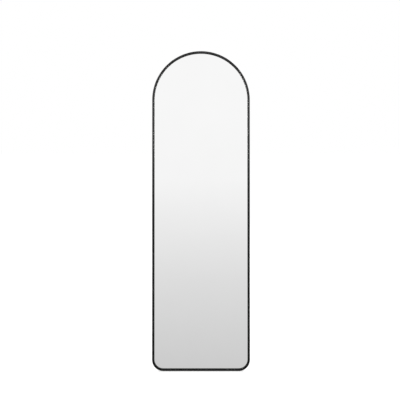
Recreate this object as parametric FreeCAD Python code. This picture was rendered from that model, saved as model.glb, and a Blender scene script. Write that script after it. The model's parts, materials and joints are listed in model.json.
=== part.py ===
import FreeCAD, Part
import math
import os

# An arched full-length floor mirror that leans back on its own fold-out stand.
#
# The panel's pieces are drawn in the panel frame: x to the viewer's right, y from the frame's
# front face to its back, z up the panel from the frame's bottom edge. PANEL then leans them back
# and stands them on the floor. The stand's pieces are drawn about its pivot, with the legs
# pointing down, and STAND opens them behind the panel. In the finished part +Z is up, the floor
# is z = 0 and the glass faces -Y. Lengths are in millimetres and angles in degrees.

Vector = FreeCAD.Vector

# Overall form
MIRROR_HEIGHT = 1800.0  # along the panel, outside the frame
MIRROR_WIDTH = 550.0
CORNER_RADIUS = 63.0  # outside of the two bottom corners
LEAN_ANGLE = 7.0  # panel from upright
STAND_SPREAD = 15.0  # opened stand from the panel

# Frame extrusion: a flat tube with a fin on its inner wall that carries the glass and the board
FACE_WIDTH = 11.5
TUBE_WALL = 1.4
FIN_WIDTH = 9.0
FIN_THICKNESS = 1.5
FACE_EDGE_RADIUS = 1.2
BACK_EDGE_RADIUS = 0.8
BACK_RECESS = 0.5  # hanger plates inside the frame's back edge
SEAM_GAP = 0.2

# Joiners slid into the tube across each seam
JOINER_LENGTH = 90.0
JOINER_CLEARANCE = 0.15
JOINER_SCREW_INSET = 20.0  # from each end of the joiner
JOINER_TAIL_ROOM = 25.0  # straight tube between a joiner's end and the bend

# Layers behind the frame's front face
GLASS_RECESS = 9.0
GLASS_THICKNESS = 4.0
GLASS_EDGE_GAP = 1.0
GLASS_ARRIS = 0.6
TAPE_THICKNESS = 1.0
TAPE_MARGIN = 1.0
BOARD_THICKNESS = 3.0
BOARD_EDGE_GAP = 0.8
SETTING_BLOCK_LENGTH = 40.0
SETTING_BLOCK_CORNER_GAP = 52.0  # from a block's end to the start of the corner
PAD_WIDTH = 25.0
PAD_INSET = 150.0  # from the frame's outside to the pad
PAD_GAP = 120.0  # between the pads of a column
PAD_ROWS = 3

# Screws through the board into the fin, and through the tube into the joiners
FIN_SCREW_RADIUS = 1.5
FIN_SCREW_HEAD_RADIUS = 3.0
FIN_SCREW_HEAD_HEIGHT = 1.8
FIN_SCREW_PITCH = 260.0  # wanted distance between neighbours on the sides
ARCH_SCREWS = 5
BOTTOM_SCREWS = 3
THREAD_CLEARANCE = 0.05
THROUGH_CLEARANCE = 0.15
TIP_MARGIN = 0.2

# Braces: pressed hat channels across the board's back, their flanges screwed to the fin
BRACE_SHEET = 1.5
BRACE_DEPTH = 9.0
BRACE_BEND = 0.8  # inside radius
BRACE_FLANGE = 14.0
BRACE_END_GAP = 1.0
BRACE_NOTCH = 36.0  # crown cut back from each end
LOWER_BRACE_CROWN = 30.0
LOWER_BRACE_RISE = 200.0  # above the lower seams
HANGER_BRACE_DROP = 95.0  # below the upper seams
PIVOT_DROP = 260.0  # below the hanger brace

# Keyhole hangers
HANGER_INSET = 125.0  # keyhole from the frame's outside
HANGER_WIDTH = 62.0
HANGER_SHEET = 2.0
HANGER_CORNER = 4.0
KEYHOLE_RADIUS = 5.0
KEYHOLE_SLOT = 5.2
KEYHOLE_TRAVEL = 9.0
KEYHOLE_MARGIN = 5.5  # plate above and below the keyhole
HEAD_ROOM = 2.0  # around the wall screw's head, behind the plate
RIVET_RADIUS = 2.0
RIVET_HEAD_RADIUS = 3.8
RIVET_HEAD_HEIGHT = 1.2
RIVET_BULB_RADIUS = 2.9
RIVET_BULB_HEIGHT = 3.0
RIVET_INSET = 9.0  # from the plate's ends

# Stand: one bent steel tube, its two legs pinned between the ears of two brackets
LEG_INSET = 75.0  # leg's axis from the frame's outside
STAND_TUBE_RADIUS = 8.0
STAND_TUBE_WALL = 1.2
STAND_BEND = 50.0  # centre line
SLEEVE_WALL = 2.0
SLEEVE_LENGTH = 70.0
SLEEVE_BEND_GAP = 10.0  # from a sleeve's end to the start of the bend
SLEEVE_FLAT = 0.5
SLEEVE_CLEARANCE = 0.05
STOW_CLEARANCE = 2.5  # folded sleeves to the back of the frame
CAP_HEAD = 2.0
CAP_EDGE = 0.5
CAP_CLEARANCE = 0.1
CAP_BUSH_GAP = 1.5  # between a cap's plug and the pivot bushes
STOP_GAP = 0.3  # leg's upper end to the bracket that stops it

# Hinge brackets
BRACKET_SHEET = 2.5
BRACKET_BEND = 0.8  # inside radius
BRACKET_MARGIN = 6.0  # base plate beyond the leg's stop and its lower screw
BRACKET_SEAT_MARGIN = 0.7  # flat of the brace's crown beyond the base plate
EAR_RADIUS = 9.0
BRACKET_SCREW_RADIUS = 2.0
BRACKET_SCREW_HEAD_RADIUS = 3.9
BRACKET_SCREW_SPACING = 28.0
NUT_THICKNESS = 3.2
NUT_ACROSS_FLATS = 7.0

# Pivots
PIN_RADIUS = 3.0
PIN_CLEARANCE = 0.1
PIN_HEAD_RADIUS = 5.0
PIN_HEAD_HEIGHT = 3.4
PIN_HEAD_EDGE = 1.0
PIN_SOCKET_ACROSS_FLATS = 4.0
PIN_SOCKET_DEPTH = 2.0
PIN_NUT_THICKNESS = 6.0
PIN_NUT_ACROSS_FLATS = 10.0
PIN_END = 1.5  # thread beyond the nut
BUSH_RUNNING_CLEARANCE = 0.05
BUSH_WALL = 0.95
BUSH_BARREL_LENGTH = 4.0
BUSH_FLANGE = 1.0
BUSH_FLANGE_WIDTH = 2.0
EAR_CLEARANCE = 0.1  # bush flange to ear

# Rubber parts
FOOT_PAD_THICKNESS = 2.0  # under the frame's back edge
FOOT_PAD_FRONT = 15.0  # pad's front edge behind the frame's face
FOOT_PAD_BACK_MARGIN = 2.0
FOOT_PAD_LENGTH = 70.0
FOOT_PAD_CORNER_GAP = 27.0  # from a pad's end to the start of the corner
FOOT_PAD_EDGE = 0.6
WALL_BUMPER_MARGIN = 0.5  # frame's back face beyond a bumper
WALL_BUMPER_HEIGHT = 3.0
WALL_BUMPER_INSET = 60.0  # from the ends of the side rails
LEG_REST_RADIUS = 7.0
LEG_REST_GAP = 0.3

# Shapes of small parts
ROUNDING = 0.55  # rounding of a dome's rim, as a share of its height
RECESS_WIDTH = 0.9
RECESS_SHARE = 0.62  # recess span and depth, as shares of the head's width and height
RECESS_TURN = 37.0  # each screw stops at another angle
OVERCUT = 1.0  # how far a cutting shape runs past what it cuts
LEVEL_TOLERANCE = 1e-4  # for telling which edges lie on a plane
POINT_TOLERANCE = 1e-6  # points nearer than this are one

# Outline of the panel
HALF_WIDTH = MIRROR_WIDTH / 2
INNER_HALF = HALF_WIDTH - FACE_WIDTH
SPRING_HEIGHT = MIRROR_HEIGHT - HALF_WIDTH
TAIL = JOINER_LENGTH / 2 + JOINER_TAIL_ROOM
ARCH_SEAM = SPRING_HEIGHT - TAIL
CORNER_SEAM = CORNER_RADIUS + TAIL
CORNER_START = HALF_WIDTH - CORNER_RADIUS

# Depths behind the frame's front face
GLASS_BACK = GLASS_RECESS + GLASS_THICKNESS
FIN_FRONT = GLASS_BACK + TAPE_THICKNESS
FIN_BACK = FIN_FRONT + FIN_THICKNESS
BOARD_BACK = FIN_BACK + BOARD_THICKNESS
BRACE_BACK = BOARD_BACK + BRACE_DEPTH
BRACE_CEILING = BRACE_BACK - BRACE_SHEET  # inside of the brace's crown
HANGER_BACK = BRACE_BACK + HANGER_SHEET
FRAME_DEPTH = HANGER_BACK + BACK_RECESS
BRACKET_BASE_BACK = BRACE_BACK + BRACKET_SHEET
SLEEVE_RADIUS = STAND_TUBE_RADIUS + SLEEVE_CLEARANCE + SLEEVE_WALL
PIVOT_DEPTH = FRAME_DEPTH + STOW_CLEARANCE + SLEEVE_RADIUS
EAR_BACK = PIVOT_DEPTH + EAR_RADIUS

# Distances from the middle, and from a leg's axis
FIN_SCREW_INSET = FACE_WIDTH + (FIN_WIDTH + BOARD_EDGE_GAP) / 2
HANGER_OFFSET = HALF_WIDTH - HANGER_INSET
LEG_OFFSET = HALF_WIDTH - LEG_INSET
BUSH_BARREL_RADIUS = PIN_RADIUS + BUSH_RUNNING_CLEARANCE + BUSH_WALL
FLANGE_FRONT = STAND_TUBE_RADIUS + BUSH_RUNNING_CLEARANCE
EAR_INSIDE = FLANGE_FRONT + BUSH_FLANGE + EAR_CLEARANCE
EAR_OUTSIDE = EAR_INSIDE + BRACKET_SHEET

LEAN = math.radians(LEAN_ANGLE)
SPREAD = math.radians(STAND_SPREAD)
LEG_SLOPE = SPREAD - LEAN
FLOOR_LIFT = FRAME_DEPTH * math.sin(LEAN) + FOOT_PAD_THICKNESS
FOOT_BAR_HEIGHT = SLEEVE_RADIUS - SLEEVE_FLAT

# The opened leg's upper end stops on the bracket's base plate. This is how far it reaches beyond
# the pivot for its front edge to end STOP_GAP short of the plate.
STOP_REACH = (
    PIVOT_DEPTH - BRACKET_BASE_BACK - STOP_GAP - STAND_TUBE_RADIUS * math.cos(SPREAD)
) / math.sin(SPREAD)
BRACKET_TOP = STOP_REACH * math.cos(SPREAD) + BRACKET_MARGIN
BRACKET_BOTTOM = -BRACKET_SCREW_SPACING / 2 - BRACKET_MARGIN

# Heights up the panel
LOWER_BRACE_HEIGHT = CORNER_SEAM + LOWER_BRACE_RISE
HANGER_BRACE_HEIGHT = ARCH_SEAM - HANGER_BRACE_DROP
PIVOT_HEIGHT = HANGER_BRACE_HEIGHT - PIVOT_DROP
HANGER_HEIGHT = 2 * (KEYHOLE_RADIUS + KEYHOLE_MARGIN) + KEYHOLE_TRAVEL
KEYHOLE_DROP = KEYHOLE_TRAVEL / 2  # keyhole's centre below the plate's middle
STAND_BRACE_HEIGHT = PIVOT_HEIGHT + (BRACKET_TOP + BRACKET_BOTTOM) / 2
STAND_BRACE_CROWN = (
    BRACKET_TOP - BRACKET_BOTTOM + 2 * (BRACE_BEND + BRACE_SHEET + BRACKET_SEAT_MARGIN)
)

# Where the pivot and the foot bar stand in the room
PIVOT_RISE = FLOOR_LIFT + PIVOT_HEIGHT * math.cos(LEAN) - PIVOT_DEPTH * math.sin(LEAN)
PIVOT_SETBACK = PIVOT_DEPTH * math.cos(LEAN) + PIVOT_HEIGHT * math.sin(LEAN)
LEG_LENGTH = (PIVOT_RISE - FOOT_BAR_HEIGHT) / math.cos(LEG_SLOPE)  # pivot to foot bar

# The origin is under the middle of the footprint, from the frame's front edge to the sleeves
FOOTPRINT_FRONT = FACE_EDGE_RADIUS * (math.cos(LEAN) + math.sin(LEAN) - 1)
FOOTPRINT_BACK = PIVOT_SETBACK + LEG_LENGTH * math.sin(LEG_SLOPE) + SLEEVE_RADIUS
FRONT_SHIFT = -(FOOTPRINT_FRONT + FOOTPRINT_BACK) / 2

X_AXIS = Vector(1, 0, 0)
Y_AXIS = Vector(0, 1, 0)
Z_AXIS = Vector(0, 0, 1)
PANEL = FreeCAD.Placement(
    Vector(0, FRONT_SHIFT, FLOOR_LIFT), FreeCAD.Rotation(X_AXIS, -LEAN_ANGLE)
)
STAND = FreeCAD.Placement(
    Vector(0, PIVOT_SETBACK + FRONT_SHIFT, PIVOT_RISE),
    FreeCAD.Rotation(X_AXIS, STAND_SPREAD - LEAN_ANGLE),
)


# ---------------------------------------------------------------- shared drawing helpers


def rounded_wire(corners, place):
    """Closed wire through corners (u, v, radius), each rounded, put in space by place(u, v)."""
    rounds = []
    for index, (u, v, radius) in enumerate(corners):
        corner = Vector(u, v, 0)
        last = Vector(*corners[index - 1][:2], 0)
        following = Vector(*corners[(index + 1) % len(corners)][:2], 0)
        back = (last - corner).normalize()
        ahead = (following - corner).normalize()
        half_angle = back.getAngle(ahead) / 2
        cut = radius / math.tan(half_angle)
        bisector = (back + ahead).normalize()
        middle = corner + bisector * (radius / math.sin(half_angle) - radius)
        points = (corner + back * cut, middle, corner + ahead * cut)
        rounds.append((radius, [place(point.x, point.y) for point in points]))
    edges = []
    for index, (radius, points) in enumerate(rounds):
        if radius > 0:
            edges.append(Part.Arc(*points).toShape())
        start, end = points[2], rounds[(index + 1) % len(rounds)][1][0]
        if start.distanceToPoint(end) > POINT_TOLERANCE:
            edges.append(Part.LineSegment(start, end).toShape())
    return Part.Wire(edges)


def ring(wires):
    """The flat face between an outer wire and one inside it."""
    return Part.makeFace(wires, "Part::FaceMakerBullseye")


def outline(inset, depth):
    """The panel's arched outline, moved inward by inset, on the plane y = depth."""
    half = HALF_WIDTH - inset
    corner = CORNER_RADIUS - inset
    top = MIRROR_HEIGHT - inset
    corners = [
        (-half, inset, corner),
        (half, inset, corner),
        (half, top, half),
        (-half, top, half),
    ]
    return rounded_wire(corners, lambda u, v: Vector(u, depth, v))


def slab(inset, front, back):
    """An arched plate between two depths."""
    return Part.Face(outline(inset, front)).extrude(Y_AXIS * (back - front))


def box(x_range, y_range, z_range):
    """A box between the given pairs of limits."""
    corner = Vector(min(x_range), min(y_range), min(z_range))
    sizes = [abs(pair[1] - pair[0]) for pair in (x_range, y_range, z_range)]
    return Part.makeBox(*sizes, corner)


def along(shape, seat, direction):
    """A shape drawn about +Z, moved so that its origin is at seat and its +Z points along direction."""
    turn = FreeCAD.Rotation(Z_AXIS, direction)
    return shape.transformed(FreeCAD.Placement(seat, turn).toMatrix())


def rod(seat, direction, radius, length):
    """A cylinder from seat along direction."""
    return Part.makeCylinder(radius, length, seat, direction)


def mirrored(shape):
    """The same piece on the panel's other side."""
    return shape.mirror(Vector(0, 0, 0), X_AXIS)


def rim_rounded(shape, radius):
    """The shape with the round edge at its top eased by radius."""
    top = shape.BoundBox.ZMax
    rims = [edge for edge in shape.Edges if edge.BoundBox.ZMin > top - LEVEL_TOLERANCE]
    return shape.makeFillet(radius, rims)


def hexagon(across_flats, height, seat_height=0.0):
    """A hexagonal prism about +Z."""
    radius = across_flats / 2 / math.cos(math.pi / 6)
    turns = [math.pi / 3 * step for step in range(7)]
    points = [Vector(radius * math.cos(t), radius * math.sin(t), seat_height) for t in turns]
    return Part.Face(Part.makePolygon(points)).extrude(Z_AXIS * height)


# ---------------------------------------------------------------- fasteners, drawn about +Z


def cross_recess(head_radius, head_height, top, turn):
    """The cross-shaped recess of a screw head, to cut from its top."""
    span = head_radius * RECESS_SHARE
    depth = head_height * RECESS_SHARE
    half = RECESS_WIDTH / 2
    first = box((-span, span), (-half, half), (top - depth, top + OVERCUT))
    second = box((-half, half), (-span, span), (top - depth, top + OVERCUT))
    cross = first.fuse(second)
    cross.rotate(Vector(0, 0, 0), Z_AXIS, turn)
    return cross


def dome(radius, height):
    """A low round button that stands on z = 0, its upper rim rounded."""
    return rim_rounded(Part.makeCylinder(radius, height), height * ROUNDING)


def pan_screw(radius, length, head_radius, head_height, index):
    """A pan-head screw: its head stands on z = 0 and its shank goes down."""
    head = dome(head_radius, head_height)
    shank = Part.makeCylinder(radius, length, Vector(0, 0, -length))
    recess = cross_recess(head_radius, head_height, head_height, RECESS_TURN * index)
    return head.fuse(shank).cut(recess)


def countersunk_screw(radius, length, head_radius, index):
    """A countersunk screw: its head is flush with z = 0."""
    cone_height = head_radius - radius
    cone = Part.makeCone(radius, head_radius, cone_height, Vector(0, 0, -cone_height))
    shank = Part.makeCylinder(radius, length - cone_height, Vector(0, 0, -length))
    recess = cross_recess(head_radius, cone_height, 0.0, RECESS_TURN * index)
    return cone.fuse(shank).cut(recess)


def countersink(radius, head_radius, depth):
    """The hole that takes a countersunk screw, to cut from a plate whose face is z = 0."""
    clear_head = head_radius + THREAD_CLEARANCE
    clear_shank = radius + THROUGH_CLEARANCE
    cone_height = clear_head - clear_shank
    cone = Part.makeCone(clear_shank, clear_head, cone_height, Vector(0, 0, -cone_height))
    return cone.fuse(Part.makeCylinder(clear_shank, depth, Vector(0, 0, -depth)))


def hex_nut(across_flats, thickness, bore):
    """A nut that stands on z = 0."""
    bevel = Part.makeCone(across_flats / 2 + thickness, across_flats / 2, thickness)
    blank = hexagon(across_flats, thickness).common(bevel)
    return blank.cut(Part.makeCylinder(bore, thickness))


def blind_rivet(grip):
    """A set blind rivet: its head stands on z = 0 and its bulb grips behind the sheets."""
    head = dome(RIVET_HEAD_RADIUS, RIVET_HEAD_HEIGHT)
    body = Part.makeCylinder(RIVET_RADIUS, grip, Vector(0, 0, -grip))
    bulb = Part.makeCylinder(
        RIVET_BULB_RADIUS, RIVET_BULB_HEIGHT, Vector(0, 0, -grip - RIVET_BULB_HEIGHT)
    )
    return head.fuse([body, bulb])


# ---------------------------------------------------------------- places of the fasteners


def fin_screw_heights():
    """Heights of the board screws on each side, spread between the seams and the braces."""
    stations = [CORNER_SEAM] + [height for height, _ in braces()] + [ARCH_SEAM]
    heights = []
    for low, high in zip(stations, stations[1:]):
        count = max(1, round((high - low) / FIN_SCREW_PITCH))
        heights += [low + (high - low) * (step + 0.5) / count for step in range(count)]
    return heights


def board_screw_places():
    """(x, z) of every screw that holds the board itself to the fin."""
    side = HALF_WIDTH - FIN_SCREW_INSET
    places = [(sign * side, height) for height in fin_screw_heights() for sign in (-1, 1)]
    for step in range(ARCH_SCREWS):
        angle = math.pi * (step + 0.5) / ARCH_SCREWS
        places.append((side * math.cos(angle), SPRING_HEIGHT + side * math.sin(angle)))
    for step in range(BOTTOM_SCREWS):
        x = CORNER_START * (2 * (step + 0.5) / BOTTOM_SCREWS - 1)
        places.append((x, FIN_SCREW_INSET))
    return places


def braces():
    """(height, crown width) of each brace, from the bottom up."""
    return [
        (LOWER_BRACE_HEIGHT, LOWER_BRACE_CROWN),
        (STAND_BRACE_HEIGHT, STAND_BRACE_CROWN),
        (HANGER_BRACE_HEIGHT, HANGER_HEIGHT),
    ]


def brace_screw_places():
    """(x, z) of every screw that holds a brace's flange, through the board, to the fin."""
    side = HALF_WIDTH - FIN_SCREW_INSET
    places = []
    for height, crown in braces():
        rise = (crown + BRACE_FLANGE) / 2
        places += [(sx * side, height + sz * rise) for sx in (-1, 1) for sz in (-1, 1)]
    return places


def bored(shape, places, front, back, radius):
    """The shape with holes along y at those of the places (x, z) that reach it."""
    reach = shape.BoundBox
    reach.enlarge(radius)
    drills = [
        rod(Vector(x, front - OVERCUT, z), Y_AXIS, radius, back - front + 2 * OVERCUT)
        for x, z in places
        if reach.isInside(Vector(x, reach.Center.y, z))
    ]
    return shape.cut(drills) if drills else shape


def joiner_screw_seats(side):
    """Seats of the joiner screws on one side's inner wall."""
    for seam in (CORNER_SEAM, ARCH_SEAM):
        for end in (-1, 1):
            height = seam + end * (JOINER_LENGTH / 2 - JOINER_SCREW_INSET)
            yield Vector(side * INNER_HALF, (BOARD_BACK + FRAME_DEPTH) / 2, height)


# ---------------------------------------------------------------- frame


def rail_profile(place):
    """Section of the extrusion: inward distance and depth, put in space by place(inward, depth)."""
    fin_edge = FACE_WIDTH + FIN_WIDTH
    outside = [
        (0, 0, FACE_EDGE_RADIUS),
        (FACE_WIDTH, 0, FACE_EDGE_RADIUS),
        (FACE_WIDTH, FIN_FRONT, 0),
        (fin_edge, FIN_FRONT, 0),
        (fin_edge, FIN_BACK, 0),
        (FACE_WIDTH, FIN_BACK, 0),
        (FACE_WIDTH, FRAME_DEPTH, BACK_EDGE_RADIUS),
        (0, FRAME_DEPTH, BACK_EDGE_RADIUS),
    ]
    near, far = TUBE_WALL, FACE_WIDTH - TUBE_WALL
    deep = FRAME_DEPTH - TUBE_WALL
    cavity = [(near, near, 0), (far, near, 0), (far, deep, 0), (near, deep, 0)]
    return ring([rounded_wire(outside, place), rounded_wire(cavity, place)])


def upright_run(side, low, high):
    """A straight length of rail on one side (-1 left, 1 right)."""
    section = rail_profile(lambda a, depth: Vector(side * (HALF_WIDTH - a), depth, low))
    return section.extrude(Z_AXIS * (high - low))


def drilled_rail(rail):
    """The rail with the holes of the fin screws and of the joiner screws."""
    places = board_screw_places() + brace_screw_places()
    radius = FIN_SCREW_RADIUS + THREAD_CLEARANCE
    rail = bored(rail, places, FIN_FRONT, FIN_BACK, radius)
    drills = []
    for side in (-1, 1):
        outward = X_AXIS * side
        for seat in joiner_screw_seats(side):
            if rail.BoundBox.isInside(seat):
                start = seat - outward * OVERCUT
                drills.append(rod(start, outward, radius, OVERCUT + TUBE_WALL + JOINER_CLEARANCE))
    return rail.cut(drills)


def frame_arch():
    """The half-round top rail, bent from the extrusion, with its straight tails."""
    section = rail_profile(lambda a, depth: Vector(HALF_WIDTH - a, depth, SPRING_HEIGHT))
    bend = section.revolve(Vector(0, 0, SPRING_HEIGHT), -Y_AXIS, 180)
    low = ARCH_SEAM + SEAM_GAP / 2
    tails = [upright_run(side, low, SPRING_HEIGHT) for side in (-1, 1)]
    return drilled_rail(bend.fuse(tails).removeSplitter())


def frame_side(side):
    """A straight side rail."""
    return drilled_rail(
        upright_run(side, CORNER_SEAM + SEAM_GAP / 2, ARCH_SEAM - SEAM_GAP / 2)
    )


def frame_bottom():
    """The bottom rail with its two bent corners and their straight tails."""
    section = rail_profile(lambda a, depth: Vector(HALF_WIDTH - a, depth, CORNER_RADIUS))
    right = section.revolve(Vector(CORNER_START, 0, CORNER_RADIUS), Y_AXIS, 90)
    sill = rail_profile(lambda a, depth: Vector(-CORNER_START, depth, a))
    sill = sill.extrude(X_AXIS * 2 * CORNER_START)
    high = CORNER_SEAM - SEAM_GAP / 2
    tails = [upright_run(side, CORNER_RADIUS, high) for side in (-1, 1)]
    return drilled_rail(sill.fuse([right, mirrored(right)] + tails).removeSplitter())


def joiner(side, seam):
    """A solid key inside the tube, half in each rail, held by two screws."""
    gap = TUBE_WALL + JOINER_CLEARANCE
    outer = HALF_WIDTH - gap
    inner = INNER_HALF + gap
    half = JOINER_LENGTH / 2
    key = box(
        (side * inner, side * outer),
        (gap, FRAME_DEPTH - gap),
        (seam - half, seam + half),
    )
    radius = FIN_SCREW_RADIUS + THREAD_CLEARANCE
    for seat in joiner_screw_seats(side):
        if abs(seat.z - seam) < half:
            key = key.cut(rod(seat, X_AXIS * side, radius, FACE_WIDTH - gap - TIP_MARGIN))
    return key


def joiner_screws():
    """Screws through the tube's inner wall into the joiners."""
    screws = []
    length = FACE_WIDTH - TUBE_WALL - JOINER_CLEARANCE - 2 * TIP_MARGIN
    for side in (-1, 1):
        for index, seat in enumerate(joiner_screw_seats(side)):
            screw = pan_screw(
                FIN_SCREW_RADIUS, length, FIN_SCREW_HEAD_RADIUS, FIN_SCREW_HEAD_HEIGHT, index
            )
            screws.append(along(screw, seat, X_AXIS * -side))
    return screws


# ---------------------------------------------------------------- glass and backing


def mirror_glass():
    """The silvered pane, with a ground arris round its front edge."""
    pane = slab(FACE_WIDTH + GLASS_EDGE_GAP, GLASS_RECESS, GLASS_BACK)
    level = GLASS_RECESS + LEVEL_TOLERANCE
    front = [edge for edge in pane.Edges if edge.BoundBox.YMax < level]
    return pane.makeChamfer(GLASS_ARRIS, front)


def bonding_tape():
    """The foam tape ring between the glass and the fin."""
    outer = slab(FACE_WIDTH + GLASS_EDGE_GAP + TAPE_MARGIN, GLASS_BACK, FIN_FRONT)
    inner = slab(FACE_WIDTH + FIN_WIDTH - TAPE_MARGIN, GLASS_BACK - OVERCUT, FIN_FRONT + OVERCUT)
    return outer.cut(inner)


def setting_blocks():
    """Two rubber blocks that carry the glass on the bottom rail."""
    outer = CORNER_START - SETTING_BLOCK_CORNER_GAP
    return [
        box(
            (side * outer, side * (outer - SETTING_BLOCK_LENGTH)),
            (GLASS_RECESS + GLASS_ARRIS, GLASS_BACK),
            (FACE_WIDTH, FACE_WIDTH + GLASS_EDGE_GAP),
        )
        for side in (-1, 1)
    ]


def support_pads():
    """Foam strips that fill the space between the glass and the board inside the fin."""
    outer = HALF_WIDTH - PAD_INSET
    pitch = SPRING_HEIGHT / PAD_ROWS
    return [
        box(
            (side * outer, side * (outer - PAD_WIDTH)),
            (GLASS_BACK, FIN_BACK),
            (pitch * row + PAD_GAP / 2, pitch * (row + 1) - PAD_GAP / 2),
        )
        for side in (-1, 1)
        for row in range(PAD_ROWS)
    ]


def backing_board():
    """The hardboard back, drilled for its own screws and for those of the braces."""
    board = slab(FACE_WIDTH + BOARD_EDGE_GAP, FIN_BACK, BOARD_BACK)
    places = board_screw_places() + brace_screw_places()
    radius = FIN_SCREW_RADIUS + THROUGH_CLEARANCE
    return bored(board, places, FIN_BACK, BOARD_BACK, radius)


def fin_screws(places, seat_depth):
    """Pan-head screws from seat_depth forward into the fin."""
    length = seat_depth - FIN_FRONT - TIP_MARGIN
    screws = []
    for index, (x, z) in enumerate(places):
        screw = pan_screw(
            FIN_SCREW_RADIUS, length, FIN_SCREW_HEAD_RADIUS, FIN_SCREW_HEAD_HEIGHT, index
        )
        screws.append(along(screw, Vector(x, seat_depth, z), Y_AXIS))
    return screws


# ---------------------------------------------------------------- braces and hangers


def brace(height, crown):
    """A pressed hat channel across the back, its crown notched away at both ends."""
    half = crown / 2
    inside = half - BRACE_SHEET
    edge = half + BRACE_FLANGE
    skin = BOARD_BACK + BRACE_SHEET
    inner_bend = BRACE_BEND
    outer_bend = BRACE_BEND + BRACE_SHEET
    section = [
        (-edge, BOARD_BACK, 0),
        (-inside, BOARD_BACK, outer_bend),
        (-inside, BRACE_CEILING, inner_bend),
        (inside, BRACE_CEILING, inner_bend),
        (inside, BOARD_BACK, outer_bend),
        (edge, BOARD_BACK, 0),
        (edge, skin, 0),
        (half, skin, inner_bend),
        (half, BRACE_BACK, outer_bend),
        (-half, BRACE_BACK, outer_bend),
        (-half, skin, inner_bend),
        (-edge, skin, 0),
    ]
    end = INNER_HALF - BRACE_END_GAP
    face = Part.Face(rounded_wire(section, lambda z, y: Vector(-end, y, height + z)))
    channel = face.extrude(X_AXIS * 2 * end)
    notch = half + inner_bend
    for side in (-1, 1):
        channel = channel.cut(
            box(
                (side * (end - BRACE_NOTCH), side * (end + OVERCUT)),
                (BOARD_BACK - OVERCUT, BRACE_BACK + OVERCUT),
                (height - notch, height + notch),
            )
        )
    radius = FIN_SCREW_RADIUS + THROUGH_CLEARANCE
    return bored(channel, brace_screw_places(), BOARD_BACK, skin, radius)


def keyhole_centre(side):
    """Centre of a hanger's keyhole on the plate's back face."""
    return Vector(side * HANGER_OFFSET, HANGER_BACK, HANGER_BRACE_HEIGHT - KEYHOLE_DROP)


def upright_slot(centre, half_width, travel, front, back):
    """A slot with round ends, upward from centre, to cut from a sheet between two depths."""
    near, far = front - OVERCUT, back + OVERCUT
    low = Vector(centre.x, near, centre.z)
    ends = [rod(low + Z_AXIS * rise, Y_AXIS, half_width, far - near) for rise in (0, travel)]
    middle = box(
        (centre.x - half_width, centre.x + half_width),
        (near, far),
        (centre.z, centre.z + travel),
    )
    return middle.fuse(ends)


def rivet_places(side):
    """(x, z) of a hanger's two rivets."""
    reach = HANGER_WIDTH / 2 - RIVET_INSET
    return [(side * HANGER_OFFSET + end * reach, HANGER_BRACE_HEIGHT) for end in (-1, 1)]


def hanger_brace():
    """The upper brace, with room behind each keyhole for a wall screw's head."""
    channel = brace(HANGER_BRACE_HEIGHT, HANGER_HEIGHT)
    room = KEYHOLE_RADIUS + HEAD_ROOM
    radius = RIVET_RADIUS + THREAD_CLEARANCE
    for side in (-1, 1):
        slot = upright_slot(keyhole_centre(side), room, KEYHOLE_TRAVEL, BRACE_CEILING, BRACE_BACK)
        channel = bored(channel.cut(slot), rivet_places(side), BRACE_CEILING, BRACE_BACK, radius)
    return channel


def keyhole_hanger(side):
    """A steel plate with a keyhole, riveted to the upper brace."""
    half_width = HANGER_WIDTH / 2
    half_height = HANGER_HEIGHT / 2
    corners = [
        (-half_width, -half_height, HANGER_CORNER),
        (half_width, -half_height, HANGER_CORNER),
        (half_width, half_height, HANGER_CORNER),
        (-half_width, half_height, HANGER_CORNER),
    ]
    middle = Vector(side * HANGER_OFFSET, BRACE_BACK, HANGER_BRACE_HEIGHT)
    wire = rounded_wire(corners, lambda u, v: middle + Vector(u, 0, v))
    plate = Part.Face(wire).extrude(Y_AXIS * HANGER_SHEET)
    centre = keyhole_centre(side)
    narrow = KEYHOLE_SLOT / 2
    travel = KEYHOLE_RADIUS + KEYHOLE_TRAVEL - narrow
    plate = plate.cut(upright_slot(centre, narrow, travel, BRACE_BACK, HANGER_BACK))
    plate = bored(plate, [(centre.x, centre.z)], BRACE_BACK, HANGER_BACK, KEYHOLE_RADIUS)
    radius = RIVET_RADIUS + THREAD_CLEARANCE
    return bored(plate, rivet_places(side), BRACE_BACK, HANGER_BACK, radius)


def hanger_rivets():
    """Blind rivets through the hangers and the upper brace."""
    rivet = blind_rivet(HANGER_SHEET + BRACE_SHEET)
    return [
        along(rivet, Vector(x, HANGER_BACK, z), Y_AXIS)
        for side in (-1, 1)
        for x, z in rivet_places(side)
    ]


# ---------------------------------------------------------------- hinge brackets


def bracket_screw_seats(side):
    """Seats of a bracket's screws on the back of its base plate."""
    return [
        Vector(
            side * LEG_OFFSET, BRACKET_BASE_BACK, PIVOT_HEIGHT + step * BRACKET_SCREW_SPACING
        )
        for step in (-0.5, 0.5)
    ]


def pivot_point(side):
    """The pivot's centre in a bracket."""
    return Vector(side * LEG_OFFSET, PIVOT_DEPTH, PIVOT_HEIGHT)


def stand_brace():
    """The middle brace, drilled for the bracket screws."""
    seats = bracket_screw_seats(-1) + bracket_screw_seats(1)
    places = [(seat.x, seat.z) for seat in seats]
    radius = BRACKET_SCREW_RADIUS + THROUGH_CLEARANCE
    channel = brace(STAND_BRACE_HEIGHT, STAND_BRACE_CROWN)
    return bored(channel, places, BRACE_CEILING, BRACE_BACK, radius)


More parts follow.
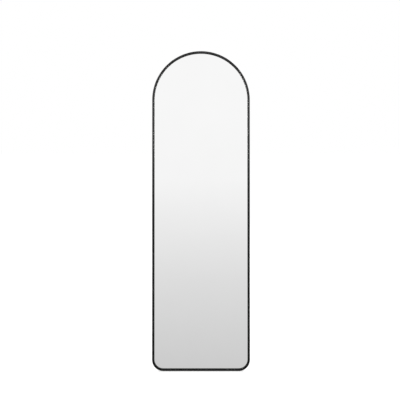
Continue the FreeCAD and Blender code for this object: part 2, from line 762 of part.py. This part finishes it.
def hinge_bracket(side):
    """A folded steel bracket: a base plate on the brace and two ears that hold the pivot."""
    pivot = pivot_point(side)
    bend = BRACKET_BEND
    outer_bend = BRACKET_BEND + BRACKET_SHEET
    section = [
        (-EAR_OUTSIDE, BRACE_BACK, outer_bend),
        (EAR_OUTSIDE, BRACE_BACK, outer_bend),
        (EAR_OUTSIDE, EAR_BACK, 0),
        (EAR_INSIDE, EAR_BACK, 0),
        (EAR_INSIDE, BRACKET_BASE_BACK, bend),
        (-EAR_INSIDE, BRACKET_BASE_BACK, bend),
        (-EAR_INSIDE, EAR_BACK, 0),
        (-EAR_OUTSIDE, EAR_BACK, 0),
    ]
    low = pivot.z + BRACKET_BOTTOM
    high = pivot.z + BRACKET_TOP
    face = Part.Face(rounded_wire(section, lambda x, y: Vector(pivot.x + x, y, low)))
    folded = face.extrude(Z_AXIS * (high - low))
    base_edge = BRACKET_BASE_BACK + bend
    ear = [
        (BRACE_BACK, low, 0),
        (base_edge, low, bend),
        (EAR_BACK, pivot.z - EAR_RADIUS, EAR_RADIUS),
        (EAR_BACK, pivot.z + EAR_RADIUS, EAR_RADIUS),
        (base_edge, high, bend),
        (BRACE_BACK, high, 0),
    ]
    wire = rounded_wire(ear, lambda y, z: Vector(pivot.x - EAR_OUTSIDE, y, z))
    bracket = folded.common(Part.Face(wire).extrude(X_AXIS * 2 * EAR_OUTSIDE))
    reach = EAR_OUTSIDE + OVERCUT
    bore = rod(pivot - X_AXIS * reach, X_AXIS, PIN_RADIUS + PIN_CLEARANCE, 2 * reach)
    sink = countersink(BRACKET_SCREW_RADIUS, BRACKET_SCREW_HEAD_RADIUS, BRACKET_SHEET + OVERCUT)
    sinks = [along(sink, seat, Y_AXIS) for seat in bracket_screw_seats(side)]
    return bracket.cut([bore] + sinks)


def bracket_screws():
    """Countersunk screws that hold both brackets to the middle brace."""
    length = BRACKET_SHEET + BRACE_SHEET + NUT_THICKNESS + TIP_MARGIN
    screws = []
    for side in (-1, 1):
        for index, seat in enumerate(bracket_screw_seats(side)):
            screw = countersunk_screw(
                BRACKET_SCREW_RADIUS, length, BRACKET_SCREW_HEAD_RADIUS, index + 1
            )
            screws.append(along(screw, seat, Y_AXIS))
    return screws


def bracket_nuts():
    """Nuts on the bracket screws, inside the middle brace."""
    nut = hex_nut(NUT_ACROSS_FLATS, NUT_THICKNESS, BRACKET_SCREW_RADIUS + THREAD_CLEARANCE)
    return [
        along(nut, Vector(seat.x, BRACE_CEILING, seat.z), -Y_AXIS)
        for side in (-1, 1)
        for seat in bracket_screw_seats(side)
    ]


def hinge_pin(side):
    """The pivot bolt: head outside the outer ear, thread end beyond the nut on the inner one."""
    length = 2 * EAR_OUTSIDE + PIN_NUT_THICKNESS + PIN_END
    head = rim_rounded(Part.makeCylinder(PIN_HEAD_RADIUS, PIN_HEAD_HEIGHT), PIN_HEAD_EDGE)
    socket = hexagon(
        PIN_SOCKET_ACROSS_FLATS, PIN_SOCKET_DEPTH + OVERCUT, PIN_HEAD_HEIGHT - PIN_SOCKET_DEPTH
    )
    shank = Part.makeCylinder(PIN_RADIUS, length, Vector(0, 0, -length))
    pin = head.fuse(shank).cut(socket)
    return along(pin, pivot_point(side) + X_AXIS * side * EAR_OUTSIDE, X_AXIS * side)


def hinge_nut(side):
    """The lock nut on the inner end of a pivot bolt."""
    nut = hex_nut(PIN_NUT_ACROSS_FLATS, PIN_NUT_THICKNESS, PIN_RADIUS + THREAD_CLEARANCE)
    return along(nut, pivot_point(side) - X_AXIS * side * EAR_OUTSIDE, X_AXIS * -side)


# ---------------------------------------------------------------- rubber parts on the panel


def foot_pad(side):
    """A wedge of rubber under the bottom rail, flat on the floor (drawn in place, not leaned)."""
    front_top = PANEL.multVec(Vector(0, FOOT_PAD_FRONT, 0))
    back_top = PANEL.multVec(Vector(0, FRAME_DEPTH - FOOT_PAD_BACK_MARGIN, 0))
    outer = CORNER_START - FOOT_PAD_CORNER_GAP
    corners = [
        (front_top.y, 0, FOOT_PAD_EDGE),
        (back_top.y, 0, FOOT_PAD_EDGE),
        (back_top.y, back_top.z, 0),
        (front_top.y, front_top.z, 0),
    ]
    wire = rounded_wire(corners, lambda y, z: Vector(side * outer, y, z))
    return Part.Face(wire).extrude(X_AXIS * -side * FOOT_PAD_LENGTH)


def wall_bumpers():
    """Rubber bumpers on the back of the side rails, for a mirror that is hung on a wall."""
    low = CORNER_SEAM + WALL_BUMPER_INSET
    high = ARCH_SEAM - WALL_BUMPER_INSET
    shape = dome(FACE_WIDTH / 2 - WALL_BUMPER_MARGIN, WALL_BUMPER_HEIGHT)
    middle = HALF_WIDTH - FACE_WIDTH / 2
    return [
        along(shape, Vector(side * middle, FRAME_DEPTH, height), Y_AXIS)
        for side in (-1, 1)
        for height in (low, high)
    ]


def leg_rest(side):
    """The rubber bumper on the lower brace that a folded leg comes to rest on."""
    height = PIVOT_DEPTH - STAND_TUBE_RADIUS - LEG_REST_GAP - BRACE_BACK
    seat = Vector(side * LEG_OFFSET, BRACE_BACK, LOWER_BRACE_HEIGHT)
    return along(dome(LEG_REST_RADIUS, height), seat, Y_AXIS)


# ---------------------------------------------------------------- stand, drawn about its pivot


def tube_ring(centre, normal):
    """The hollow section of the stand's tube."""
    radii = (STAND_TUBE_RADIUS, STAND_TUBE_RADIUS - STAND_TUBE_WALL)
    return ring([Part.Wire(Part.makeCircle(radius, centre, normal)) for radius in radii])


def stand_tube():
    """One tube bent to a U: leg, bend, foot bar, bend, leg."""
    top = STOP_REACH - CAP_HEAD
    bend_height = -LEG_LENGTH + STAND_BEND
    bend_centre = LEG_OFFSET - STAND_BEND
    leg = tube_ring(Vector(LEG_OFFSET, 0, bend_height), Z_AXIS).extrude(
        Z_AXIS * (top - bend_height)
    )
    bend = tube_ring(Vector(LEG_OFFSET, 0, bend_height), Z_AXIS).revolve(
        Vector(bend_centre, 0, bend_height), Y_AXIS, 90
    )
    bar = tube_ring(Vector(-bend_centre, 0, -LEG_LENGTH), X_AXIS).extrude(
        X_AXIS * 2 * bend_centre
    )
    tube = bar.fuse([leg, bend, mirrored(leg), mirrored(bend)]).removeSplitter()
    bore_radius = BUSH_BARREL_RADIUS + BUSH_RUNNING_CLEARANCE
    reach = LEG_OFFSET + STAND_TUBE_RADIUS + OVERCUT
    return tube.cut(rod(X_AXIS * -reach, X_AXIS, bore_radius, 2 * reach))


def pivot_bushes(side):
    """Two flanged nylon bushes in a leg's cross hole, one from each side."""
    bushes = []
    for face in (-1, 1):
        outward = X_AXIS * face
        seat = Vector(side * LEG_OFFSET, 0, 0) + outward * FLANGE_FRONT
        flange = rod(seat, outward, BUSH_BARREL_RADIUS + BUSH_FLANGE_WIDTH, BUSH_FLANGE)
        barrel = rod(seat, outward * -1, BUSH_BARREL_RADIUS, BUSH_BARREL_LENGTH)
        start = seat - outward * (BUSH_BARREL_LENGTH + OVERCUT)
        bore_length = BUSH_BARREL_LENGTH + BUSH_FLANGE + 2 * OVERCUT
        bore = rod(start, outward, PIN_RADIUS + BUSH_RUNNING_CLEARANCE, bore_length)
        bushes.append(flange.fuse(barrel).cut(bore))
    return bushes


def tube_cap(side):
    """The plastic plug in a leg's upper end."""
    base = Vector(side * LEG_OFFSET, 0, STOP_REACH - CAP_HEAD)
    head = rim_rounded(Part.makeCylinder(STAND_TUBE_RADIUS, CAP_HEAD, base), CAP_EDGE)
    bottom = Vector(base.x, 0, BUSH_BARREL_RADIUS + CAP_BUSH_GAP)
    plug_radius = STAND_TUBE_RADIUS - STAND_TUBE_WALL - CAP_CLEARANCE
    return head.fuse(Part.makeCylinder(plug_radius, base.z - bottom.z, bottom))


def foot_sleeve(side):
    """A rubber sleeve on the foot bar, worn flat where it meets the floor."""
    inward = X_AXIS * -side
    outer_end = Vector(side * (LEG_OFFSET - STAND_BEND - SLEEVE_BEND_GAP), 0, -LEG_LENGTH)
    sleeve = rod(outer_end, inward, SLEEVE_RADIUS, SLEEVE_LENGTH)
    bore_radius = STAND_TUBE_RADIUS + SLEEVE_CLEARANCE
    start = outer_end - inward * OVERCUT
    return sleeve.cut(rod(start, inward, bore_radius, SLEEVE_LENGTH + 2 * OVERCUT))


def on_floor(shape):
    """What of the shape lies above the floor."""
    bounds = shape.BoundBox
    below = box((bounds.XMin, bounds.XMax), (bounds.YMin, bounds.YMax), (-SLEEVE_RADIUS, 0))
    return shape.cut(below)


# ---------------------------------------------------------------- assembly


def panel_pieces():
    """Every piece drawn in the panel frame."""
    pieces = {
        "frame_arch": frame_arch(),
        "frame_bottom": frame_bottom(),
        "joiner_screws": joiner_screws(),
        "mirror_glass": mirror_glass(),
        "bonding_tape": bonding_tape(),
        "setting_blocks": setting_blocks(),
        "support_pads": support_pads(),
        "backing_board": backing_board(),
        "board_screws": fin_screws(board_screw_places(), BOARD_BACK),
        "brace_screws": fin_screws(brace_screw_places(), BOARD_BACK + BRACE_SHEET),
        "lower_brace": brace(LOWER_BRACE_HEIGHT, LOWER_BRACE_CROWN),
        "stand_brace": stand_brace(),
        "hanger_brace": hanger_brace(),
        "hanger_rivets": hanger_rivets(),
        "bracket_screws": bracket_screws(),
        "bracket_nuts": bracket_nuts(),
        "wall_bumpers": wall_bumpers(),
    }
    for name, side in (("left", -1), ("right", 1)):
        pieces["frame_side_" + name] = frame_side(side)
        pieces["corner_joiner_" + name] = joiner(side, CORNER_SEAM)
        pieces["arch_joiner_" + name] = joiner(side, ARCH_SEAM)
        pieces["keyhole_hanger_" + name] = keyhole_hanger(side)
        pieces["hinge_bracket_" + name] = hinge_bracket(side)
        pieces["hinge_pin_" + name] = hinge_pin(side)
        pieces["hinge_nut_" + name] = hinge_nut(side)
        pieces["leg_rest_" + name] = leg_rest(side)
    return pieces


def stand_pieces():
    """Every piece drawn about the stand's pivot."""
    pieces = {"stand_tube": stand_tube()}
    for name, side in (("left", -1), ("right", 1)):
        pieces["pivot_bushes_" + name] = pivot_bushes(side)
        pieces["tube_cap_" + name] = tube_cap(side)
        pieces["foot_sleeve_" + name] = foot_sleeve(side)
    return pieces


def placed(piece, placement):
    """A piece, or a group of them, moved into the finished part."""
    shape = Part.makeCompound(piece) if isinstance(piece, list) else piece
    return shape.transformed(placement.toMatrix())


def assembly():
    """Every sub-part by name, in its place."""
    pieces = {name: placed(piece, PANEL) for name, piece in panel_pieces().items()}
    for name, piece in stand_pieces().items():
        shape = placed(piece, STAND)
        pieces[name] = on_floor(shape) if name.startswith("foot_sleeve") else shape
    for name, side in (("left", -1), ("right", 1)):
        pieces["foot_pad_" + name] = foot_pad(side)
    return pieces


def main():
    os.makedirs("parts", exist_ok=True)
    for name, shape in sorted(assembly().items()):
        solids = shape.Solids
        if not solids or not all(solid.isValid() and solid.Volume > 0 for solid in solids):
            raise RuntimeError(name + " is not made of sound solids")
        shape.exportStep("parts/" + name + ".step")
        print(name, len(solids), round(shape.Volume / 1000, 2), "cm3")


if __name__ == "__main__":
    main()
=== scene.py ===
import json
import math

import bpy
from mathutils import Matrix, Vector


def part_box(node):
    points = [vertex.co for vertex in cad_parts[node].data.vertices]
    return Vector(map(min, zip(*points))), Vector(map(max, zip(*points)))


# An arched floor mirror in a thin black frame, on its fold-out stand, in a white studio. Lengths
# are in metres and angles in degrees. The mirror faces -Y, leans back towards +Y and stands on
# z = 0.

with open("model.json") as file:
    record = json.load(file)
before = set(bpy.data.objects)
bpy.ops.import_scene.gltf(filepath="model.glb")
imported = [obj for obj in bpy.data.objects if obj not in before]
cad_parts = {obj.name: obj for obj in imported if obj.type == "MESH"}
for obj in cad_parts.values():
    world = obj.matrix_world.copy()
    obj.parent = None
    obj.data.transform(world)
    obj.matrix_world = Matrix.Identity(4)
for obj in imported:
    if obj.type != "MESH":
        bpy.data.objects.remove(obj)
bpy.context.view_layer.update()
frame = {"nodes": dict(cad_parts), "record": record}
nodes = frame["nodes"]
record = frame["record"]

# The panel's own directions: the keyholes open straight out of its back
mounts = {mount["name"]: mount for mount in record["mounts"]}
PANEL_BACK = Vector(mounts["keyhole_left"]["axis"])
PANEL_UP = Vector((1.0, 0.0, 0.0)).cross(PANEL_BACK)

# The photograph's view, set out from the panel's lower front edge
AIM_HEIGHT = 0.964  # of the picture's middle, up the panel
AIM_LEFT = 0.0056  # of the picture's middle, from the panel's
CAMERA_PITCH = -6.53
CAMERA_DISTANCE = 3.5
PICTURE_WIDTH = 2.251  # what the picture takes in at that distance
SENSOR_WIDTH = 36.0  # millimetres

# Studio. Dull surfaces are lit by an even world, and shiny ones show a sky: (rise, level) upwards
AMBIENT = 0.5
SKY = [(-7.5, 0.645), (0.0, 0.77), (5.0, 0.885), (9.5, 0.98), (16.0, 1.0)]
FLOOR_SIZE = 60.0
FLOOR_PAINT = 0.85
FLOOR_GLOW = 0.61  # added for the camera alone, so that the floor reaches white

# Softboxes: place, the point that they face, width and height, watts
LAMPS = {
    "front_left": ((-0.95, -3.6, 2.35), (0.0, 0.0, 1.2), (0.6, 1.0), 30.0),
    "front_right": ((0.95, -3.6, 2.35), (0.0, 0.0, 1.2), (0.6, 1.0), 30.0),
    "front_top": ((0.0, -3.4, 3.6), (0.0, 0.0, 1.2), (0.9, 0.5), 20.0),
    "back": ((1.6, 3.0, 3.0), (0.0, 0.1, 0.9), (2.0, 1.6), 70.0),
}

# Finishes: linear colours, each a pair of tones that the finish varies between
FRAME_TONES = (0.003, 0.005)
STEEL_TONES = (0.015, 0.034)
BOARD_TONES = ((0.018, 0.017, 0.016), (0.036, 0.034, 0.032))
SILVER_TONES = (0.926, 0.934)
BACKING_TONES = ((0.085, 0.10, 0.088), (0.115, 0.13, 0.115))
GROUND_TONES = ((0.13, 0.18, 0.16), (0.17, 0.23, 0.205))
ZINC_TONES = ((0.50, 0.50, 0.51), (0.64, 0.64, 0.62))
MILL_TONES = ((0.62, 0.62, 0.61), (0.78, 0.78, 0.77))
NYLON_TONES = (0.024, 0.034)
RUBBER_TONES = (0.020, 0.034)
FOAM_TONES = (0.52, 0.68)
FIBRE_COLOUR = (0.115, 0.106, 0.095)  # of the palest fibres on the board
FRAME_GLOSS = 0.125  # where 0.5 is a plain lacquer

# The glass's faces by how far they look forwards, from -1 to 1: the rest are its ground edges
SILVERED_ABOVE = 0.9
PAINTED_BELOW = -0.5


def rgba(colour):
    """A colour with alpha, from a grey level or three channels."""
    channels = colour if isinstance(colour, tuple) else (colour,) * 3
    return (*channels, 1.0)


# ---------------------------------------------------------------- shader nodes

NOISE_LOW, NOISE_HIGH = 0.3, 0.7  # nearly all of a noise lies between these


class Tree:
    """A node tree, with a short call for each kind of node that the finishes use."""

    def __init__(self, owner):
        owner.use_nodes = True
        self.tree = owner.node_tree
        self.tree.nodes.clear()

    def add(self, kind, inputs=None, **settings):
        """A node of that kind, its settings made and its inputs set or linked."""
        node = self.tree.nodes.new(kind)
        for key, value in settings.items():
            setattr(node, key, value)
        for key, value in (inputs or {}).items():
            if isinstance(value, bpy.types.NodeSocket):
                self.tree.links.new(value, node.inputs[key])
            else:
                node.inputs[key].default_value = value
        return node

    def math(self, operation, *values):
        return self.add(
            "ShaderNodeMath", dict(enumerate(values)), operation=operation
        ).outputs[0]

    def mix(self, factor, first, second):
        """A colour between two colours."""
        node = self.add("ShaderNodeMix", {0: factor, 6: first, 7: second}, data_type="RGBA")
        return node.outputs[2]

    def mix_shader(self, factor, first, second):
        return self.add("ShaderNodeMixShader", {0: factor, 1: first, 2: second}).outputs[0]

    def spread(self, share, start, end):
        """A number from start to end, as a noise goes through the middle of its range."""
        inputs = {
            "Value": share,
            "From Min": NOISE_LOW,
            "From Max": NOISE_HIGH,
            "To Min": start,
            "To Max": end,
        }
        return self.add("ShaderNodeMapRange", inputs).outputs[0]

    def tones(self, share, pair):
        """A colour between a pair of tones, as a noise goes through the middle of its range."""
        return self.mix(self.spread(share, 0.0, 1.0), rgba(pair[0]), rgba(pair[1]))

    def place(self, stretch=None):
        """The point of the surface in metres, which a stretch scales axis by axis."""
        point = self.add("ShaderNodeTexCoord").outputs["Object"]
        if stretch is None:
            return point
        return self.add("ShaderNodeMapping", {"Vector": point, "Scale": stretch}).outputs[0]

    def noise(self, place, per_metre, detail=2.0, distortion=0.0):
        inputs = {
            "Vector": place,
            "Scale": per_metre,
            "Detail": detail,
            "Distortion": distortion,
        }
        return self.add("ShaderNodeTexNoise", inputs).outputs[0]

    def bump(self, height, depth, strength=1.0):
        """A normal from a height that runs from 0 to 1 over a depth."""
        inputs = {"Height": height, "Distance": depth, "Strength": strength}
        return self.add("ShaderNodeBump", inputs).outputs[0]

    def principled(self, **inputs):
        named = {key.replace("_", " "): value for key, value in inputs.items()}
        return self.add("ShaderNodeBsdfPrincipled", named).outputs[0]

    def shiny_rays(self):
        """1 for a ray from a reflection or through glass, and otherwise 0."""
        path = self.add("ShaderNodeLightPath").outputs
        return self.math("MAXIMUM", path["Is Glossy Ray"], path["Is Transmission Ray"])

    def camera_rays(self):
        return self.add("ShaderNodeLightPath").outputs["Is Camera Ray"]


def finish_of(name, build):
    """A material whose surface is what build makes in its tree."""
    material = bpy.data.materials.new(name)
    tree = Tree(material)
    tree.add("ShaderNodeOutputMaterial", {"Surface": build(tree)})
    return material


# ---------------------------------------------------------------- studio


def make_world():
    """White to the camera, to shiny rays a sky that darkens downwards, and even to the rest."""
    world = bpy.data.worlds.new("studio")
    bpy.context.scene.world = world
    tree = Tree(world)
    direction = tree.add("ShaderNodeTexCoord").outputs["Generated"]
    rise = tree.add("ShaderNodeSeparateXYZ", {0: direction}).outputs["Z"]
    heights = [math.sin(math.radians(angle)) for angle, _ in SKY]
    low, high = heights[0], heights[-1]
    share = tree.add(
        "ShaderNodeMapRange", {"Value": rise, "From Min": low, "From Max": high}
    ).outputs[0]
    sky = tree.add("ShaderNodeValToRGB", {0: share})
    stops = sky.color_ramp.elements
    for _ in SKY[2:]:
        stops.new(1.0)
    for stop, height, (_, level) in zip(stops, heights, SKY):
        stop.position = (height - low) / (high - low)
        stop.color = rgba(level)
    light = tree.mix(tree.shiny_rays(), rgba(AMBIENT), sky.outputs[0])
    colour = tree.mix(tree.camera_rays(), light, rgba(1.0))
    background = tree.add("ShaderNodeBackground", {"Color": colour}).outputs[0]
    tree.add("ShaderNodeOutputWorld", {"Surface": background})


def floor_paint(tree):
    """Pale to all rays but the shiny ones, which pass to the sky, and white to the camera."""
    paint = tree.add("ShaderNodeBsdfDiffuse", {"Color": rgba(FLOOR_PAINT)}).outputs[0]
    strength = tree.math("MULTIPLY", tree.camera_rays(), FLOOR_GLOW)
    glow = tree.add("ShaderNodeEmission", {"Color": rgba(1.0), "Strength": strength}).outputs[0]
    seen = tree.add("ShaderNodeAddShader", {0: paint, 1: glow}).outputs[0]
    clear = tree.add("ShaderNodeBsdfTransparent").outputs[0]
    return tree.mix_shader(tree.shiny_rays(), seen, clear)


def make_floor():
    """A wide level floor under the mirror."""
    half = FLOOR_SIZE / 2
    mesh = bpy.data.meshes.new("studio_floor")
    corners = [(-half, -half, 0), (half, -half, 0), (half, half, 0), (-half, half, 0)]
    mesh.from_pydata(corners, [], [(0, 1, 2, 3)])
    mesh.materials.append(finish_of("studio_floor", floor_paint))
    floor = bpy.data.objects.new("studio_floor", mesh)
    bpy.context.scene.collection.objects.link(floor)


def make_lamps():
    """Softboxes, each turned to the point that it faces."""
    for name, (place, target, (width, height), power) in LAMPS.items():
        light = bpy.data.lights.new(name, "AREA")
        light.shape = "RECTANGLE"
        light.size = width
        light.size_y = height
        light.energy = power
        lamp = bpy.data.objects.new(name, light)
        bpy.context.scene.collection.objects.link(lamp)
        lamp.location = place
        facing = Vector(target) - Vector(place)
        lamp.rotation_euler = facing.to_track_quat("-Z", "Y").to_euler()


def make_camera():
    """The camera, at the photograph's angle and distance."""
    edge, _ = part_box("frame_bottom")
    aim = Vector((-AIM_LEFT, edge.y, edge.z)) + PANEL_UP * AIM_HEIGHT
    pitch = math.radians(CAMERA_PITCH)
    gaze = Vector((0.0, math.cos(pitch), math.sin(pitch)))
    data = bpy.data.cameras.new("camera")
    data.sensor_width = SENSOR_WIDTH
    data.lens = SENSOR_WIDTH * CAMERA_DISTANCE / PICTURE_WIDTH
    camera = bpy.data.objects.new("camera", data)
    bpy.context.scene.collection.objects.link(camera)
    camera.location = aim - gaze * CAMERA_DISTANCE
    camera.rotation_euler = gaze.to_track_quat("-Z", "Y").to_euler()
    bpy.context.scene.camera = camera


# ---------------------------------------------------------------- finishes


def frame_black(tree):
    """Satin black powder coat: very dark, with a faint orange peel."""
    place = tree.place()
    patches = tree.noise(place, per_metre=14.0, detail=4.0)
    peel = tree.noise(place, per_metre=900.0)
    return tree.principled(
        Base_Color=tree.tones(patches, FRAME_TONES),
        Roughness=tree.spread(patches, start=0.24, end=0.30),
        Specular_IOR_Level=FRAME_GLOSS,
        Normal=tree.bump(peel, depth=0.00003),
    )


def black_steel(tree):
    """Fine-textured powder coat on pressed and bent steel."""
    place = tree.place()
    patches = tree.noise(place, per_metre=20.0, detail=3.0)
    grain = tree.noise(place, per_metre=1300.0, detail=3.0)
    grain_share = 0.8
    offset = tree.math("SUBTRACT", grain, 0.5)
    both = tree.math("MULTIPLY_ADD", offset, grain_share, patches)
    return tree.principled(
        Base_Color=tree.tones(both, STEEL_TONES),
        Roughness=tree.spread(grain, start=0.58, end=0.38),
        Normal=tree.bump(grain, depth=0.00016),
    )


def silvered_glass(tree):
    """Silvering behind clear glass on the front, a ground edge, backing paint behind."""
    normal = tree.add("ShaderNodeTexCoord").outputs["Normal"]
    forwards = tree.add(
        "ShaderNodeVectorMath", {0: normal, 1: -PANEL_BACK}, operation="DOT_PRODUCT"
    ).outputs["Value"]
    silvered = tree.math("GREATER_THAN", forwards, SILVERED_ABOVE)
    painted = tree.math("LESS_THAN", forwards, PAINTED_BELOW)
    dull = tree.math("SUBTRACT", 1.0, silvered)

    place = tree.place()
    haze = tree.noise(place, per_metre=6.0)
    grinding = tree.noise(place, per_metre=2500.0)
    spray = tree.noise(place, per_metre=220.0, detail=3.0)
    grain = tree.add("ShaderNodeMix", {0: painted, 2: grinding, 3: spray}).outputs[0]
    edge_or_back = tree.mix(
        painted, tree.tones(grinding, GROUND_TONES), tree.tones(spray, BACKING_TONES)
    )
    return tree.principled(
        Base_Color=tree.mix(silvered, edge_or_back, tree.tones(haze, SILVER_TONES)),
        Metallic=silvered,
        Roughness=tree.math("MULTIPLY", dull, tree.spread(grain, start=0.44, end=0.58)),
        Normal=tree.bump(grain, depth=0.00003, strength=dull),
    )


def hardboard(tree):
    """Black-faced hardboard: a cloudy stain, and paler fibres pressed in all directions."""
    place = tree.place()
    clouds = tree.noise(place, per_metre=7.0, detail=4.0)
    fibres = tree.noise(place, per_metre=320.0, detail=6.0, distortion=4.0)
    paleness = tree.math("POWER", tree.spread(fibres, start=0.0, end=0.8), 2.0)
    return tree.principled(
        Base_Color=tree.mix(paleness, tree.tones(clouds, BOARD_TONES), rgba(FIBRE_COLOUR)),
        Roughness=tree.spread(fibres, start=0.78, end=0.60),
        Normal=tree.bump(fibres, depth=0.0004),
    )


def zinc_steel(tree):
    """Bright zinc plate, a little cloudy, with fine turning marks."""
    place = tree.place()
    clouds = tree.noise(place, per_metre=300.0, detail=3.0)
    marks = tree.noise(place, per_metre=4000.0)
    return tree.principled(
        Base_Color=tree.tones(clouds, ZINC_TONES),
        Metallic=1.0,
        Roughness=tree.spread(clouds, start=0.26, end=0.42),
        Normal=tree.bump(marks, depth=0.00001),
    )


def bare_aluminium(tree):
    """Mill-finish aluminium, with die lines up the panel."""
    lines = tree.noise(tree.place(stretch=(1.0, 1.0, 0.02)), per_metre=2600.0)
    clouds = tree.noise(tree.place(), per_metre=60.0, detail=3.0)
    return tree.principled(
        Base_Color=tree.tones(clouds, MILL_TONES),
        Metallic=1.0,
        Roughness=tree.spread(lines, start=0.30, end=0.46),
        Normal=tree.bump(lines, depth=0.00001),
    )


def moulded(tones, roughness, per_metre, depth):
    """A builder of moulded rubber or plastic, with a grain so fine and so deep."""
    roughness_change = 0.06

    def build(tree):
        place = tree.place()
        patches = tree.noise(place, per_metre=90.0, detail=3.0)
        grain = tree.noise(place, per_metre=per_metre)
        return tree.principled(
            Base_Color=tree.tones(patches, tones),
            Roughness=tree.spread(
                grain, start=roughness - roughness_change, end=roughness + roughness_change
            ),
            Normal=tree.bump(grain, depth=depth),
        )

    return build


def foam(tree):
    """Closed-cell foam, with its cells cut open."""
    place = tree.place()
    cells = tree.add("ShaderNodeTexVoronoi", {"Vector": place, "Scale": 1500.0}).outputs[0]
    patches = tree.noise(place, per_metre=120.0, detail=3.0)
    return tree.principled(
        Base_Color=tree.tones(patches, FOAM_TONES),
        Roughness=0.95,
        Normal=tree.bump(cells, depth=0.0002),
    )


FINISHES = {
    "frame_black": frame_black,
    "silvered_glass": silvered_glass,
    "hardboard": hardboard,
    "black_steel": black_steel,
    "zinc_steel": zinc_steel,
    "bare_aluminium": bare_aluminium,
    "black_nylon": moulded(NYLON_TONES, roughness=0.46, per_metre=1200.0, depth=0.00003),
    "black_rubber": moulded(RUBBER_TONES, roughness=0.80, per_metre=700.0, depth=0.00010),
    "foam": foam,
}


def dress():
    """Gives every node the finish of its slot."""
    made = {slot: finish_of(slot, build) for slot, build in FINISHES.items()}
    for entry in record["subparts"]:
        materials = nodes[entry["node"]].data.materials
        materials.clear()
        materials.append(made[entry["material_slot"]])


make_world()
make_floor()
make_lamps()
make_camera()
dress()

bpy.context.scene.view_settings.view_transform = "Standard"
